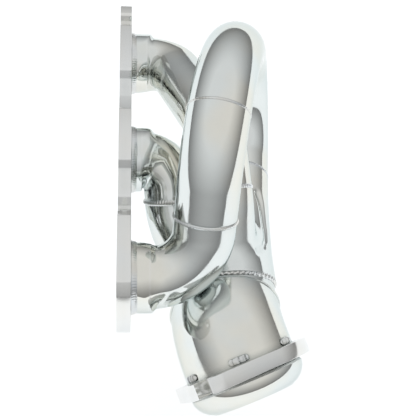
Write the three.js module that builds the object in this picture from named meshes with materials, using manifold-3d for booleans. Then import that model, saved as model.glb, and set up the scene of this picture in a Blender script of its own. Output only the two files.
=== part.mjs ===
// Tubular exhaust manifold (short header) for one bank of a V6 engine.
// Millimetres, +Z up. Origin: centre of the middle exhaust port on the gasket face.
// +X runs along the head flange towards the collector, +Y points away from the cylinder head.
import * as THREE from "three";
import { mergeVertices } from "three/addons/utils/BufferGeometryUtils.js";
import Module from "manifold-3d";

const wasm = await Module();
wasm.setup();

// ---------- driving dimensions ----------
const PORT_PITCH = 108; // centre to centre of the exhaust ports
const HEAD_T = 9.5; // head flange plate
const PORT_HOLE_R = 25.6;
const STUB_R = 25.2; // swaged end that sits in the head flange
const TUBE_R = 22.2; // 44.4 mm (1 3/4 in) primary tube
const WALL = 2.0;
const STUB_START = 1.2;
const STUB_STEP = [20.0, 15.0, 20.0]; // where the swage starts to close, per port
const STUB_END = [22.6, 17.6, 22.6];
const OUT_R = 41.65; // collector pipe, 83.3 mm
const NECK_R = 40.9;
const FLANGE_T = 10.5; // loose collector flange
const FLANGE_BORE_R = 42.6;
const BALL_R = 43.1;
const BALL_H = 16.6;
const GAP = 0.35;

const v3 = (x, y, z) => new THREE.Vector3(x, y, z);
const PORT_X = [-PORT_PITCH, 0, PORT_PITCH];

// inlets of the merge collector (lobe 1, 2, 3) and their directions
const INLET = [v3(37.5, 78.7, 10.1), v3(23.5, 42.5, -21.2), v3(-10.1, 101.9, -34.6)];
const FEED_CORNER = v3(-6.3, 72.8, 34.9); // corner of the first tube behind the long tube
const RETURN_CORNER = v3(-115.9, 113.0, -31.7); // last corner of the long tube before its lobe
const MID_CORNER = v3(0, 40.3, 0);
const INLET_DIR = [INLET[0].clone().sub(FEED_CORNER), INLET[1].clone().sub(MID_CORNER), INLET[2].clone().sub(RETURN_CORNER)].map((d) => d.normalize());

// collector axis, from the end of the merge cone to past the loose flange
const MERGE_END = v3(89.7, 80.5, -49.1);
const MERGE_DIR = v3(0.977, 0.076, -0.2).normalize();
const NECK_CORNER = v3(101.0, 81.4, -51.4);
const OUT_CORNER = v3(131.6, 82.5, -44.3);
const FLANGE_TOP = v3(150.2, 90.3, -52.2); // centre of the loose flange's upper face
const OUT_DIR = FLANGE_TOP.clone().sub(OUT_CORNER).normalize();
const EAR_DIR = v3(0.4505, -0.4841, 0.7501); // towards one ear of the loose flange

// ---------- helpers ----------
// A centreline made of straight runs and constant-radius bends.
class BentPath extends THREE.Curve {
  constructor(points, radii) {
    super();
    this.parts = [];
    let at = points[0].clone();
    for (let i = 1; i < points.length - 1; i++) {
      const d1 = points[i].clone().sub(points[i - 1]).normalize();
      const d2 = points[i + 1].clone().sub(points[i]).normalize();
      const turn = d1.angleTo(d2);
      const R = radii[i - 1];
      const tan = R * Math.tan(turn / 2);
      const start = points[i].clone().addScaledVector(d1, -tan);
      const n = d2.clone().addScaledVector(d1, -d1.dot(d2)).normalize();
      const c = start.clone().addScaledVector(n, R);
      this.parts.push({ from: at, dir: d1, len: start.distanceTo(at) * Math.sign(start.clone().sub(at).dot(d1)) });
      this.parts.push({ c, n, d: d1, R, len: R * turn });
      at = points[i].clone().addScaledVector(d2, tan);
    }
    const last = points[points.length - 1];
    this.parts.push({ from: at, dir: last.clone().sub(at).normalize(), len: last.distanceTo(at) });
    this.total = this.parts.reduce((a, p) => a + p.len, 0);
  }
  at(s) {
    for (const p of this.parts) {
      if (s <= p.len || p === this.parts[this.parts.length - 1]) {
        if (p.dir) return { p: p.from.clone().addScaledVector(p.dir, s), d: p.dir.clone() };
        const a = s / p.R;
        return {
          p: p.c.clone().addScaledVector(p.n, -p.R * Math.cos(a)).addScaledVector(p.d, p.R * Math.sin(a)),
          d: p.d.clone().multiplyScalar(Math.cos(a)).addScaledVector(p.n, Math.sin(a)),
        };
      }
      s -= p.len;
    }
  }
  getPoint(u, target = new THREE.Vector3()) {
    return target.copy(this.at(u * this.total).p);
  }
}
class SubPath extends THREE.Curve {
  constructor(path, s0, s1) {
    super();
    Object.assign(this, { path, s0, s1 });
  }
  getPoint(u, target = new THREE.Vector3()) {
    return target.copy(this.path.at(this.s0 + (this.s1 - this.s0) * u).p);
  }
  getTangent(u, target = new THREE.Vector3()) {
    return target.copy(this.path.at(this.s0 + (this.s1 - this.s0) * u).d);
  }
}
const ringShape = (ro, ri, n) => {
  const pts = (r) => Array.from({ length: n }, (_, i) => new THREE.Vector2(r * Math.cos((2 * Math.PI * i) / n), r * Math.sin((2 * Math.PI * i) / n)));
  const s = new THREE.Shape(pts(ro));
  if (ri) s.holes.push(new THREE.Path(pts(ri).reverse()));
  return s;
};
// hollow tube along a stretch of a centreline
const tubeAlong = (path, s0, s1, ro, ri, n, step) =>
  new THREE.ExtrudeGeometry(ringShape(ro, ri, n), {
    steps: Math.max(1, Math.ceil((s1 - s0) / step)),
    bevelEnabled: false,
    extrudePath: new SubPath(path, s0, s1),
  });
const solid = (geometry) => {
  let g = geometry.clone();
  g.deleteAttribute("normal");
  g.deleteAttribute("uv");
  g = mergeVertices(g, 1e-4);
  return new wasm.Manifold(new wasm.Mesh({ numProp: 3, vertProperties: g.attributes.position.array, triVerts: new Uint32Array(g.index.array) }));
};
const geometryOf = (manifold) => {
  const m = manifold.getMesh();
  const g = new THREE.BufferGeometry();
  g.setAttribute("position", new THREE.BufferAttribute(new Float32Array(m.vertProperties), 3));
  g.setIndex(new THREE.BufferAttribute(new Uint32Array(m.triVerts), 1));
  const flat = g.toNonIndexed();
  flat.computeVertexNormals();
  return flat;
};
// turn that takes the local +Y axis to dir
const toDir = (dir) => new THREE.Quaternion().setFromUnitVectors(v3(0, 1, 0), dir.clone().normalize());
const placed = (geometry, at, dir) => geometry.applyQuaternion(toDir(dir)).translate(at.x, at.y, at.z);

const manifoldGroup = new THREE.Group();
const STEEL = { color: 0xc3beba, roughness: 0.16, metalness: 1.0 };
const WELD = { color: 0xb4b0ac, roughness: 0.34, metalness: 1.0 };
const PLATE = { color: 0xc6c4c0, roughness: 0.24, metalness: 1.0 };
const add = (name, geometry, look, parent = manifoldGroup) => {
  const mesh = new THREE.Mesh(geometry, new THREE.MeshStandardMaterial(look));
  mesh.name = name;
  parent.add(mesh);
  return mesh;
};
// closed lathe ring about local +Y: [radius, height] pairs, going round the section
const ring = (profile, n) => new THREE.LatheGeometry([...profile, profile[0]].map(([r, y]) => new THREE.Vector2(r, y)), n);
const bead = (r, w, h, n = 20) => ring([[r + 0.55, -w], [r + h, -w * 0.4], [r + h, w * 0.4], [r + 0.55, w]], n);

// ---------- head flange ----------
{
  const o = new THREE.Shape();
  const top = [
    [-178, -8], [-176, 4], [-166, 16], [-149, 30], [-138, 37.5], [-126.6, 38.8], [-122.4, 32.4], [-116.5, 32.6], [-111, 41], [-58.2, 41.5], [-54.2, 34.8],
    [-49, 31], [-40, 30], [-24, 31.5], [-17, 41], [20, 41.5], [31.5, 38.7], [35.5, 32], [50, 28.5], [57, 28.5], [64, 20.5], [68.5, 24],
    [69.5, 29], [76, 31], [82, 41], [126, 41.5], [135, 40], [142, 32], [147, 22], [150, 8],
  ];
  const bottom = [
    [149.5, -2], [143, -16], [134, -30], [122, -39], [92, -41], [80, -37], [66, -30], [44, -30.6], [32, -38], [20, -41], [-20, -41.5], [-32, -38],
    [-44, -30.6], [-66, -30], [-80, -37], [-92, -41], [-124, -41.5], [-144, -36], [-162, -27], [-173, -18],
  ];
  [...top, ...bottom].reverse().forEach(([x, z], i) => (i ? o.lineTo(x, z) : o.moveTo(x, z)));
  o.closePath();
  const hole = (x, z, r, n) => {
    const p = new THREE.Path(Array.from({ length: n }, (_, i) => new THREE.Vector2(x + r * Math.cos((2 * Math.PI * i) / n), z - r * Math.sin((2 * Math.PI * i) / n))));
    o.holes.push(p);
  };
  PORT_X.forEach((x) => hole(x, 0, PORT_HOLE_R, 32));
  for (const [x, z] of [[-158, -6], [-53, 16], [-54, -16], [54, 12], [54, -16], [130.5, 29.5]]) hole(x, z, 5.2, 12);
  const g = new THREE.ExtrudeGeometry(o, { depth: HEAD_T, bevelEnabled: false });
  const mesh = add("head_flange", g, PLATE);
  mesh.rotation.x = Math.PI / 2;
  mesh.position.y = HEAD_T;
}

// ---------- port stubs and their fillet welds ----------
PORT_X.forEach((x, i) => {
  const a = STUB_STEP[i], b = STUB_END[i];
  const s = add(
    `port_stub_${i + 1}`,
    ring([[STUB_R - WALL, STUB_START], [STUB_R, STUB_START], [STUB_R, a], [TUBE_R, b], [TUBE_R - WALL, b], [STUB_R - WALL, a - 0.8]], 28),
    STEEL,
  );
  s.position.x = x;
  const y = HEAD_T + 0.3;
  const r = STUB_R + 0.55;
  const w = add(`port_weld_${i + 1}`, ring([[r, y], [r + 2.2, y], [r + 2.0, y + 2], [r, y + 4.6]], 24), WELD);
  w.position.x = x;
});

// ---------- primary tubes ----------
const N = 20;
const p1 = new BentPath([v3(PORT_X[0], STUB_END[0] + GAP, 0), v3(PORT_X[0], 42.7, 0), FEED_CORNER, INLET[0]], [21.4, 44.6]);
const p2 = new BentPath([v3(PORT_X[1], STUB_END[1] + GAP, 0), MID_CORNER, INLET[1]], [24.1]);
const p3 = new BentPath(
  [v3(PORT_X[2], STUB_END[2] + GAP, 0), v3(PORT_X[2], 58.2, 0), v3(54.7, 63.7, 77.0), v3(-26.9, 79.5, 111.1), RETURN_CORNER, INLET[2]],
  [37, 80, 78.5, 51.4],
);
add("tube_1_bend", tubeAlong(p1, 0, p1.total - GAP, TUBE_R, TUBE_R - WALL, N, 12.5), STEEL);
add("tube_2_bend", tubeAlong(p2, 0, p2.total - GAP, TUBE_R, TUBE_R - WALL, N, 6.5), STEEL);
const W_LOW = 67, W_HIGH = 142;
add("tube_3_lower_bend", tubeAlong(p3, 0, W_LOW - GAP / 2, TUBE_R, TUBE_R - WALL, N, 8), STEEL);
add("tube_3_riser", tubeAlong(p3, W_LOW + GAP / 2, W_HIGH - GAP / 2, TUBE_R, TUBE_R - WALL, N, 19), STEEL);
add("tube_3_return_bend", tubeAlong(p3, W_HIGH + GAP / 2, p3.total - GAP, TUBE_R, TUBE_R - WALL, N, 14.5), STEEL);
const lowW = p3.at(W_LOW), highW = p3.at(W_HIGH);
add("tube_3_weld_lower", placed(bead(TUBE_R, 2.4, 1.5), lowW.p, lowW.d), WELD);
add("tube_3_weld_upper", placed(bead(TUBE_R, 2.4, 1.5), highW.p, highW.d), WELD);

// ---------- merge collector: three lobes that blend into one round outlet ----------
const BODY_AT = 21; // how far below the inlets the common body starts
const bodyStart = INLET.map((p, i) => p.clone().addScaledVector(INLET_DIR[i], BODY_AT)).reduce((a, b) => a.add(b), v3(0, 0, 0)).divideScalar(3);
const bodyDir = INLET_DIR.reduce((a, d) => a.add(d), v3(0, 0, 0)).normalize();
const axisAt = (s) => {
  const L = bodyStart.distanceTo(MERGE_END);
  const h = [2 * s ** 3 - 3 * s ** 2 + 1, s ** 3 - 2 * s ** 2 + s, -2 * s ** 3 + 3 * s ** 2, s ** 3 - s ** 2];
  const p = v3(0, 0, 0).addScaledVector(bodyStart, h[0]).addScaledVector(bodyDir, h[1] * L).addScaledVector(MERGE_END, h[2]).addScaledVector(MERGE_DIR, h[3] * L);
  const n = bodyDir.clone().lerp(MERGE_DIR, s).normalize();
  const q = v3(0, 1, 0).addScaledVector(n, -n.y).normalize();
  return { p, n, u: q, w: n.clone().cross(q) };
};
const lobes = INLET.map((p, i) => {
  const f = axisAt(0);
  const d = p.clone().addScaledVector(INLET_DIR[i], BODY_AT).sub(f.p);
  const x = d.dot(f.u), y = d.dot(f.w);
  return { dist: Math.hypot(x, y), ang: Math.atan2(y, x) };
});
// the lobes start on a slanted plane: axial offset = slope . (x, y)
const slope = (() => {
  const f = axisAt(0);
  const rows = INLET.map((p, i) => {
    const d = p.clone().addScaledVector(INLET_DIR[i], BODY_AT).sub(f.p);
    return [d.dot(f.u), d.dot(f.w), d.dot(f.n)];
  });
  let a = 0, b = 0, c = 0, e = 0, g = 0;
  for (const [x, y, z] of rows) { a += x * x; b += x * y; c += y * y; e += x * z; g += y * z; }
  const det = a * c - b * b;
  return [(e * c - g * b) / det, (g * a - e * b) / det];
})();
const smooth = (a, b, x) => {
  const t = Math.min(1, Math.max(0, (x - a) / (b - a)));
  return t * t * (3 - 2 * t);
};
const bodyRadius = (th, s) => {
  const k = 9;
  let sum = (20 + 16 * s) ** k;
  for (const l of lobes) {
    const d = l.dist + (20 - l.dist) * s, ph = th - l.ang;
    const q = d * Math.sin(ph);
    if (Math.cos(ph) > 0 && Math.abs(q) < TUBE_R) sum += (d * Math.cos(ph) + Math.sqrt(TUBE_R ** 2 - q * q)) ** k;
  }
  const w = s ** 1.4;
  return (1 - w) * sum ** (1 / k) + w * NECK_R;
};
const bodySolid = (inset, s0, s1) => {
  const g = new THREE.CylinderGeometry(1, 1, 1, 36, 6);
  const p = g.attributes.position;
  for (let i = 0; i < p.count; i++) {
    const t = 0.5 - p.getY(i);
    const s = s0 + (s1 - s0) * t;
    const f = axisAt(Math.min(1, Math.max(0, s)));
    const over = (s - Math.min(1, Math.max(0, s))) * bodyStart.distanceTo(MERGE_END);
    const r = Math.hypot(p.getX(i), p.getZ(i));
    const th = Math.atan2(p.getZ(i), p.getX(i));
    const R = r < 0.5 ? 0 : bodyRadius(th, Math.min(1, Math.max(0, s))) - inset;
    const lift = (slope[0] * R * Math.cos(th) + slope[1] * R * Math.sin(th)) * Math.max(0, 1 - s) ** 1.5;
    const q = f.p.clone().addScaledVector(f.n, over + lift).addScaledVector(f.u, R * Math.cos(th)).addScaledVector(f.w, R * Math.sin(th));
    p.setXYZ(i, q.x, q.y, q.z);
  }
  return solid(g);
};
const rod = (at, dir, r, from, to, n) => {
  const g = new THREE.CylinderGeometry(r, r, to - from, n).translate(0, (from + to) / 2, 0);
  return solid(placed(g, at, dir));
};
{
  let outer = bodySolid(0, 0, 1);
  let inner = bodySolid(WALL, 0.03, 1.05);
  INLET.forEach((p, i) => {
    outer = outer.add(rod(p, INLET_DIR[i], TUBE_R, 0, BODY_AT + 8, N));
    inner = inner.add(rod(p, INLET_DIR[i], TUBE_R - WALL, -1, BODY_AT + 8, N));
  });
  add("merge_collector", geometryOf(outer.subtract(inner)), STEEL);
  INLET.forEach((p, i) => add(`merge_weld_${i + 1}`, placed(bead(TUBE_R, 2.4, 1.5), p, INLET_DIR[i]), WELD));
}

// ---------- collector neck, outlet elbow, ball end ----------
const outPath = new BentPath([MERGE_END.clone(), NECK_CORNER, OUT_CORNER, FLANGE_TOP.clone().addScaledVector(OUT_DIR, 40)], [50, 52]);
const NECK_LEN = 18.4;
const OUT_END = outPath.total - 40 + FLANGE_T + 0.2;
add("collector_weld", placed(bead(NECK_R + 0.5, 3.0, 1.4, 32), MERGE_END.clone().addScaledVector(MERGE_DIR, 0), MERGE_DIR), WELD);
add("collector_neck", tubeAlong(outPath, GAP, NECK_LEN, NECK_R, NECK_R - WALL, 32, 6), STEEL);
add("collector_outlet", tubeAlong(outPath, NECK_LEN + GAP, OUT_END, OUT_R, OUT_R - WALL, 36, 9), STEEL);
const ballAt = outPath.at(OUT_END + 0.3);
add(
  "ball_end",
  placed(
    ring(
      [[39.6, 0], [41.65, 0], [BALL_R, 3], [42, 7], [38.8, 11.2], [33.3, 15], [30.4, BALL_H], [28.5, BALL_H], [28.5, 14.7], [32.5, 13.1], [37.2, 9.8], [40.2, 5.6], [40.9, 3]],
      36,
    ),
    ballAt.p,
    ballAt.d,
  ),
  STEEL,
);

// ---------- loose two-bolt collector flange, turns on the outlet between stops and ball ----------
{
  const BODY = 51.2, EAR_AT = 61.2, EAR_R = 16.9, SLOT = 5.3, BOLT_AT = 58;
  const a = Math.acos((BODY - EAR_R) / EAR_AT); // angle of the tangent point seen from the centre
  const pts = [];
  const arc = (cx, r, a0, a1, n) => {
    for (let i = 0; i <= n; i++) {
      const t = a0 + ((a1 - a0) * i) / n;
      pts.push(new THREE.Vector2(cx + r * Math.cos(t), r * Math.sin(t)));
    }
  };
  const tip = Math.asin(SLOT / EAR_R);
  // one half turn: ear with its open slot, then the round body up to the other ear
  const half = () => {
    const out = [];
    arc(EAR_AT, EAR_R, tip, a, 6);
    arc(0, BODY, a, Math.PI - a, 10);
    return out;
  };
  half();
  arc(-EAR_AT, EAR_R, Math.PI - a, Math.PI - tip, 6);
  for (let i = 0; i <= 8; i++) {
    const t = Math.PI / 2 - (Math.PI * i) / 8;
    pts.push(new THREE.Vector2(-BOLT_AT + SLOT * Math.cos(t), SLOT * Math.sin(t)));
  }
  arc(-EAR_AT, EAR_R, Math.PI + tip, Math.PI + a, 6);
  arc(0, BODY, Math.PI + a, 2 * Math.PI - a, 10);
  arc(EAR_AT, EAR_R, 2 * Math.PI - a, 2 * Math.PI - tip, 6);
  for (let i = 0; i <= 8; i++) {
    const t = -Math.PI / 2 - (Math.PI * i) / 8;
    pts.push(new THREE.Vector2(BOLT_AT + SLOT * Math.cos(t), SLOT * Math.sin(t)));
  }
  const shape = new THREE.Shape(pts);
  shape.holes.push(new THREE.Path(Array.from({ length: 56 }, (_, i) => new THREE.Vector2(FLANGE_BORE_R * Math.cos((-2 * Math.PI * i) / 56), FLANGE_BORE_R * Math.sin((-2 * Math.PI * i) / 56)))));
  const g = new THREE.ExtrudeGeometry(shape, { depth: FLANGE_T, bevelEnabled: false });
  const e = EAR_DIR.clone().addScaledVector(OUT_DIR, -EAR_DIR.dot(OUT_DIR)).normalize();
  const m = new THREE.Matrix4().makeBasis(e, OUT_DIR.clone().cross(e), OUT_DIR);
  const mesh = add("collector_flange", g, PLATE);
  mesh.quaternion.setFromRotationMatrix(m);
  mesh.position.copy(FLANGE_TOP);

  // stop beads welded round the outlet just above the loose flange
  const t0 = FLANGE_TOP.clone().addScaledVector(OUT_DIR, -0.4);
  const toward = v3(0.3773, -0.1565, 0.9128).addScaledVector(OUT_DIR, -v3(0.3773, -0.1565, 0.9128).dot(OUT_DIR)).normalize();
  for (let i = 0; i < 6; i++) {
    const h = 10; // half angle in degrees
    const sh = new THREE.Shape();
    const r0 = OUT_R + 0.45, r1 = OUT_R + 2.8;
    const pt = (r, deg) => [r * Math.cos((deg * Math.PI) / 180), r * Math.sin((deg * Math.PI) / 180)];
    [pt(r0, -h), pt(r1 - 0.6, -h), pt(r1, -h * 0.5), pt(r1, h * 0.5), pt(r1 - 0.6, h), pt(r0, h), pt(r0 + 0.15, 0)].forEach(([x, y], k) => (k ? sh.lineTo(x, y) : sh.moveTo(x, y)));
    const sg = new THREE.ExtrudeGeometry(sh, { depth: 5, bevelEnabled: false });
    const stop = add(`flange_stop_${i + 1}`, sg, WELD);
    const dir = toward.clone().applyAxisAngle(OUT_DIR, (i * Math.PI) / 3);
    stop.quaternion.setFromRotationMatrix(new THREE.Matrix4().makeBasis(dir, OUT_DIR.clone().cross(dir), OUT_DIR));
    stop.position.copy(t0).addScaledVector(OUT_DIR, -5);
  }
}

export default manifoldGroup;
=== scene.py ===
import bpy
import bmesh
import math
import numpy as np
from mathutils import Vector, Matrix


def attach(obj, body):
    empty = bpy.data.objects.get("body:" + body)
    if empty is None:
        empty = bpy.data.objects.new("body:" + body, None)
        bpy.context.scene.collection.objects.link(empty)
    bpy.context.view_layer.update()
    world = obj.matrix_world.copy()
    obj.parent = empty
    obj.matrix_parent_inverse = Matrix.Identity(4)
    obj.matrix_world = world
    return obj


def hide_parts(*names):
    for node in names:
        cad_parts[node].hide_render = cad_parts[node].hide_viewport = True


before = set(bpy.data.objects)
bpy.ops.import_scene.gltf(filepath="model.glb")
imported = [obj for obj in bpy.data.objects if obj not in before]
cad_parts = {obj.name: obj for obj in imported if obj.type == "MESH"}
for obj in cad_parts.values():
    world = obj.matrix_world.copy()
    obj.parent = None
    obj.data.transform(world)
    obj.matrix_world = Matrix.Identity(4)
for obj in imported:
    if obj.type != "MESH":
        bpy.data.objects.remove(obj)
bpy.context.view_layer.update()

MM = 0.001
rng = np.random.default_rng(7)

# ---------------------------------------------------------------- driving dimensions, as in the CAD
PORT_X = (-108.0, 0.0, 108.0)
HEAD_T = 9.5
PORT_HOLE_R = 25.6
STUB_R = 25.2
TUBE_R = 22.2
WALL = 2.0
STUB_START = 1.2
STUB_STEP = (20.0, 15.0, 20.0)
STUB_END = (22.6, 17.6, 22.6)
OUT_R = 41.65
NECK_R = 40.9
FLANGE_T = 10.5
FLANGE_BORE_R = 42.6
BALL_R = 43.1
BALL_H = 16.6
GAP = 0.35


def A(*v):
    return np.array(v, float)


def unit(v):
    return v / np.linalg.norm(v)


INLET = [A(37.5, 78.7, 10.1), A(23.5, 42.5, -21.2), A(-10.1, 101.9, -34.6)]
FEED_CORNER = A(-6.3, 72.8, 34.9)
MID_CORNER = A(0, 40.3, 0)
RETURN_CORNER = A(-115.9, 113.0, -31.7)
INLET_DIR = [unit(INLET[0] - FEED_CORNER), unit(INLET[1] - MID_CORNER), unit(INLET[2] - RETURN_CORNER)]
MERGE_END = A(89.7, 80.5, -49.1)
MERGE_DIR = unit(A(0.977, 0.076, -0.2))
NECK_CORNER = A(101.0, 81.4, -51.4)
OUT_CORNER = A(131.6, 82.5, -44.3)
FLANGE_TOP = A(150.2, 90.3, -52.2)
OUT_DIR = unit(FLANGE_TOP - OUT_CORNER)
EAR_DIR = A(0.4505, -0.4841, 0.7501)
EAR_DIR = unit(EAR_DIR - OUT_DIR * (EAR_DIR @ OUT_DIR))
W_LOW, W_HIGH = 67.0, 142.0
NECK_LEN = 18.4


class Path:
    """Centreline of straight runs and constant-radius bends."""

    def __init__(self, pts, radii):
        pts = [np.array(p, float) for p in pts]
        self.parts = []
        at = pts[0]
        for i in range(1, len(pts) - 1):
            d1, d2 = unit(pts[i] - pts[i - 1]), unit(pts[i + 1] - pts[i])
            turn = math.acos(max(-1, min(1, float(d1 @ d2))))
            R = radii[i - 1]
            tan = R * math.tan(turn / 2)
            start = pts[i] - d1 * tan
            n = unit(d2 - d1 * (d1 @ d2))
            self.parts.append(("s", at, d1, float((start - at) @ d1)))
            self.parts.append(("b", start + n * R, n, d1, R, R * turn))
            at = pts[i] + d2 * tan
        self.parts.append(("s", at, unit(pts[-1] - at), float(np.linalg.norm(pts[-1] - at))))
        self.total = sum(p[-1] for p in self.parts)

    def at(self, s):
        for k, p in enumerate(self.parts):
            if s <= p[-1] or k == len(self.parts) - 1:
                if p[0] == "s":
                    return p[1] + p[2] * s, p[2]
                _, c, n, d, R, _ = p
                a = s / R
                return c - n * R * math.cos(a) + d * R * math.sin(a), d * math.cos(a) + n * math.sin(a)
            s -= p[-1]

    def bend(self, s):
        """How hard the line bends at s, 1/R, eased at the ends of a bend, and the way it bends."""
        at, out = 0.0, 0.0
        way = A(0, 0, 0)
        for p in self.parts:
            if p[0] == "b":
                e = 6.0
                w = min(1, max(0, (s - at) / e)) * min(1, max(0, (at + p[-1] - s) / e))
                if w > 0:
                    out, a = w / p[4], (s - at) / p[4]
                    way = p[2] * math.cos(a) - p[3] * math.sin(a)
            at += p[-1]
        return out, way


# how far beyond the tube's own radius a swaged end stands, a mm past the plate face; c is the cosine to the outer side
SWAGE = [(A(-0.81, 0, 0.59), 15.2, 17.8), (A(-0.81, 0, 0.59), 11.2, 13.8), (A(0.81, 0, -0.59), 14.0, 17.2)]


def swage(i, a, c):
    k = np.clip((c - 0.3) / 0.6, 0, 1)
    k = k * k * (3 - 2 * k)
    _, near, far = SWAGE[i]
    a0, a1 = 3.5 + (near - 3.5) * k, far + 9.0 * (1 - k)
    t = np.clip((a - a0) / (a1 - a0), 0, 1)
    return (STUB_R - TUBE_R) * (1 - t * t * (3 - 2 * t))


# ---------------------------------------------------------------- mesh helpers
def make_object(name, verts, faces, body, replaced=(), mats=(), mat_of=None, angle=32.0):
    me = bpy.data.meshes.new(name)
    me.from_pydata([tuple(v) for v in (np.asarray(verts) * MM)], [], [tuple(int(i) for i in f) for f in faces])
    me.update()
    bm = bmesh.new()
    bm.from_mesh(me)
    bmesh.ops.recalc_face_normals(bm, faces=bm.faces)
    bm.to_mesh(me)
    bm.free()
    if me.polygons and volume(me) < 0:
        me.flip_normals()
    for m in mats:
        me.materials.append(m)
    if mat_of is not None:
        me.polygons.foreach_set("material_index", np.asarray(mat_of, np.int32))
    me.shade_smooth()
    me.set_sharp_from_angle(angle=math.radians(angle))
    o = bpy.data.objects.new(name, me)
    bpy.context.scene.collection.objects.link(o)
    finish_piece(o, body, replaced)
    return o


def finish_piece(o, body, replaced):
    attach(o, body)
    if replaced:
        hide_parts(*replaced)


def volume(me):
    co = np.zeros(len(me.vertices) * 3)
    me.vertices.foreach_get("co", co)
    co = co.reshape(-1, 3)
    me.calc_loop_triangles()
    t = np.zeros(len(me.loop_triangles) * 3, np.int32)
    me.loop_triangles.foreach_get("vertices", t)
    t = t.reshape(-1, 3)
    return float(np.einsum("ij,ij->", co[t[:, 0]], np.cross(co[t[:, 1]], co[t[:, 2]])) / 6)


def torus_faces(m, n):
    """Quads of an m x n grid closed both ways."""
    i = np.arange(m)[:, None]
    j = np.arange(n)[None, :]
    a = i * n + j
    b = i * n + (j + 1) % n
    c = ((i + 1) % m) * n + (j + 1) % n
    d = ((i + 1) % m) * n + j
    return np.stack([a, b, c, d], -1).reshape(-1, 4)


def frames_along(path, ss, ref=None):
    """Positions, directions and twist-free cross axes at the stations ss."""
    P, D = zip(*(path.at(s) for s in ss))
    P, D = np.array(P), np.array(D)
    u = ref if ref is not None else (A(0, 0, 1) if abs(D[0][2]) < 0.9 else A(1, 0, 0))
    U = []
    for d in D:
        u = unit(u - d * (u @ d))
        U.append(u)
    U = np.array(U)
    return P, D, U, np.cross(D, U)


def wave(th, s, seed, lo=1, hi=5, length=60.0):
    """Smooth small random field round (th) and along (s) a tube, about -1 to 1."""
    g = np.random.default_rng(seed)
    out = np.zeros(np.broadcast(th, s).shape)
    tot = 0.0
    for k in range(lo, hi + 1):
        for q in (0.6, 1.3, 2.4):
            a = 1.0 / (k * q)
            out = out + a * np.sin(k * th + g.uniform(0, 6.283) + 2 * np.pi * q * s / length * g.uniform(0.7, 1.3)) * np.cos(2 * np.pi * q * s / length + g.uniform(0, 6.283))
            tot += a * 0.7
    return out / tot


def stations(s0, s1, ds):
    n = max(2, int(math.ceil((s1 - s0) / ds)) + 1)
    return np.linspace(s0, s1, n)


def tube(name, path, s0, s1, ro, body, replaced, mats, n=96, ds=1.8, wall=WALL, seed=1, amp=0.05, oval=0.012, end0=None, end1=None, flush=False, step=None, ch0=0.35, ch1=0.35, lip=0.0):
    """Drawn tube with rounded ends, slight flattening in its bends and faint draw marks.
    end0/end1(th) shift the ends along the path."""
    ss = stations(s0, s1, ds)
    if step is not None or lip:
        ss = np.unique(np.concatenate([ss, np.arange(s0, s0 + 16, 0.5 if step is not None else 0.25)]))
    outer = [(s0, 0)] if flush else [(s0, -ch0), (s0 + ch0 * 0.3, -ch0 * 0.3), (s0 + ch0, 0)]
    outer += [(s, 0) for s in ss[1:-1] if s0 + 1.3 * ch0 < s < s1 - 1.3 * ch1]
    outer += [(s1 - ch1, 0), (s1 - ch1 * 0.3, -ch1 * 0.3), (s1, -ch1)]
    iw = wall
    inner = [(s1, -iw + 0.2)] + [(s, -iw) for s in ss[::-3][1:-1] if s0 + 0.7 < s < s1 - 0.7] + [(s0, -iw + 0.2)]
    prof = outer + inner
    order = sorted(set(round(p[0], 5) for p in prof))
    P, D, U, W = frames_along(path, order)
    idx = {s: k for k, s in enumerate(order)}
    th = np.linspace(0, 2 * np.pi, n, endpoint=False)
    rows = []
    for s, dr in prof:
        k = idx[round(s, 5)]
        p, d, u, w = P[k], D[k], U[k], W[k]
        kb, way = path.bend(s)
        dirs = np.outer(np.cos(th), u) + np.outer(np.sin(th), w)
        r = ro + dr + np.zeros(n)
        if amp:
            r = r + amp * wave(th, np.full(n, s), seed) * (min(1.0, max(0.0, (s - s0) / 8.0)) if flush else 1.0)
        if kb > 0:
            c = dirs @ way
            r = r * (1 + oval * kb * 60 * (0.5 - c * c) * 0.6)
        if lip:
            r = r + lip * math.exp(-((s - s0 - 1.1) / 0.8) ** 2)
        if step is not None:
            r = r + swage(step, STUB_END[step] - HEAD_T + (s - s0), dirs @ SWAGE[step][0])
        q = p + dirs * r[:, None]
        e = 0
        if end0 is not None:
            e = e + end0(dirs) * max(0.0, 1 - (s - s0) / 14.0)
        if end1 is not None:
            e = e + end1(dirs) * max(0.0, 1 - (s1 - s) / 14.0)
        q = q + np.outer(np.ones(n) * e, d)
        rows.append(q)
    verts = np.concatenate(rows)
    faces = torus_faces(len(rows), n)
    no = len(outer)
    mat_of = np.repeat([0 if i < no - 1 else 1 for i in range(len(rows))], n)
    return make_object(name, verts, faces, body, replaced, mats, mat_of)


def lathe(name, prof, at, axis, body, replaced, mats, n=128, shape=None, inner_from=None, ref=None, angle=32.0):
    """Closed [r, y] profile turned about axis through at. shape(th, r, y) -> (r, y) adds what isn't round."""
    d = unit(np.array(axis, float))
    u = ref if ref is not None else (A(0, 0, 1) if abs(d[2]) < 0.9 else A(1, 0, 0))
    u = unit(u - d * (u @ d))
    w = np.cross(d, u)
    th = np.linspace(0, 2 * np.pi, n, endpoint=False)
    rows = []
    for r, y in prof:
        R, Y = np.full(n, float(r)), np.full(n, float(y))
        if shape is not None:
            R, Y = shape(th, R, Y)
        rows.append(np.array(at) + np.outer(R * np.cos(th), u) + np.outer(R * np.sin(th), w) + np.outer(Y, d))
    mat_of = None
    if inner_from is not None:
        mat_of = np.repeat([1 if i >= inner_from else 0 for i in range(len(rows))], n)
    return make_object(name, np.concatenate(rows), torus_faces(len(rows), n), body, replaced, mats, mat_of, angle)


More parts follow.
